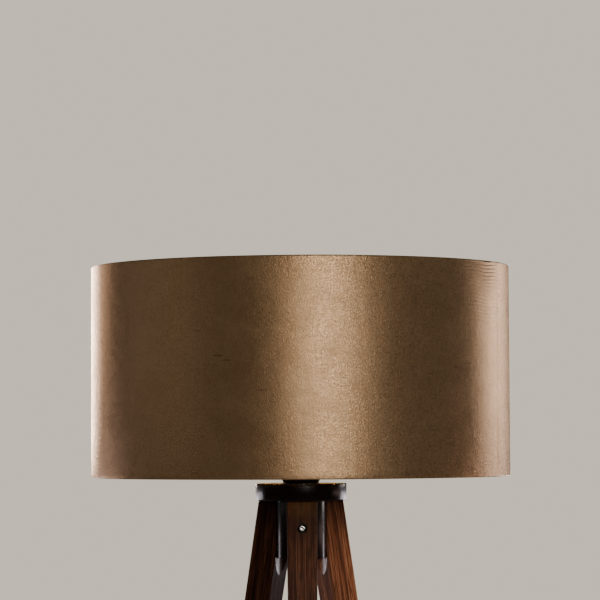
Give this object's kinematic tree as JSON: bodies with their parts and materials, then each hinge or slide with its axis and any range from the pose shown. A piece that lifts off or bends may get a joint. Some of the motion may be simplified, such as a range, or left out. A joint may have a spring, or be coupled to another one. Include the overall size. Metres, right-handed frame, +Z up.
{
  "type": "tripod floor lamp",
  "caption": "Floor lamp with a wide velvet drum shade over a round plate and turned hub, on splayed tapered dark wooden legs.",
  "frame": {"origin": "on the floor, on the lamp's vertical axis midway between the feet", "axes": "+Z up along the lamp's axis, -Y towards the front leg, +X to the right seen from the front"},
  "size_m": [0.5, 0.5, 1.45],
  "materials": {
    "walnut": "dark walnut stain under a glossy clear lacquer",
    "ebonised": "near-black stain under a high-gloss lacquer",
    "beech": "plain fluted beech",
    "steel": "bright zinc plate",
    "brass": "plain turned and pressed brass",
    "white_wire": "white powder coat",
    "black_plastic": "satin black moulding",
    "ceramic": "white steatite ceramic",
    "glide_black": "black nail-in glide",
    "velvet": "short-pile taupe bronze velvet",
    "gold_film": "satin gold metallised film on a stiff white panel",
    "clear_glass": "clear blown glass",
    "filament": "yellow phosphor coated rods on a glass stem"
  },
  "bodies": {
    "tripod": {"hub": "ebonised", "top_plate": "ebonised", "threaded_tube": "steel", "tube_washer": "steel", "tube_nut": "steel", "cord_bush": "black_plastic", "leg_front": "walnut", "leg_back_right": "walnut", "leg_back_left": "walnut", "glide_front": "glide_black", "glide_back_right": "glide_black", "glide_back_left": "glide_black", "leg_bolt_front": "steel", "leg_bolt_back_right": "steel", "leg_bolt_back_left": "steel", "bolt_washer_front": "steel", "bolt_washer_back_right": "steel", "bolt_washer_back_left": "steel", "threaded_insert_front": "brass", "threaded_insert_back_right": "brass", "threaded_insert_back_left": "brass", "dowel_front": "beech", "dowel_back_right": "beech", "dowel_back_left": "beech", "holder_cap": "black_plastic", "holder_lock_nut": "steel", "holder_core": "ceramic", "terminal_live": "brass", "terminal_neutral": "brass", "terminal_screw_live": "steel", "terminal_screw_neutral": "steel", "centre_contact": "brass", "thread_shell": "brass", "holder_sleeve": "black_plastic"},
    "shade": {"shade_cover": "velvet", "shade_panel": "gold_film", "top_ring": "white_wire", "bottom_ring": "white_wire", "fitter_ring": "white_wire", "shade_arm_1": "white_wire", "shade_arm_2": "white_wire", "shade_arm_3": "white_wire"},
    "clamp_ring": {"clamp_ring": "black_plastic"},
    "bulb": {"bulb_contact": "steel", "bulb_insulator": "black_plastic", "bulb_shell": "steel", "bulb_glass": "clear_glass", "bulb_filament": "filament"}
  },
  "joints": [
    {"name": "shade_turn", "type": "hinge", "parent": "tripod", "child": "shade", "pos_m": [0, 0, 1.2232], "axis": [0, 0, 1], "continuous": true},
    {"name": "clamp_ring_lift", "type": "slide", "parent": "tripod", "child": "clamp_ring", "axis": [0, 0, 1], "range_m": [0, 0.019]},
    {"name": "bulb_lift", "type": "slide", "parent": "tripod", "child": "bulb", "axis": [0, 0, 1], "range_m": [0, 0.034]}
  ]
}
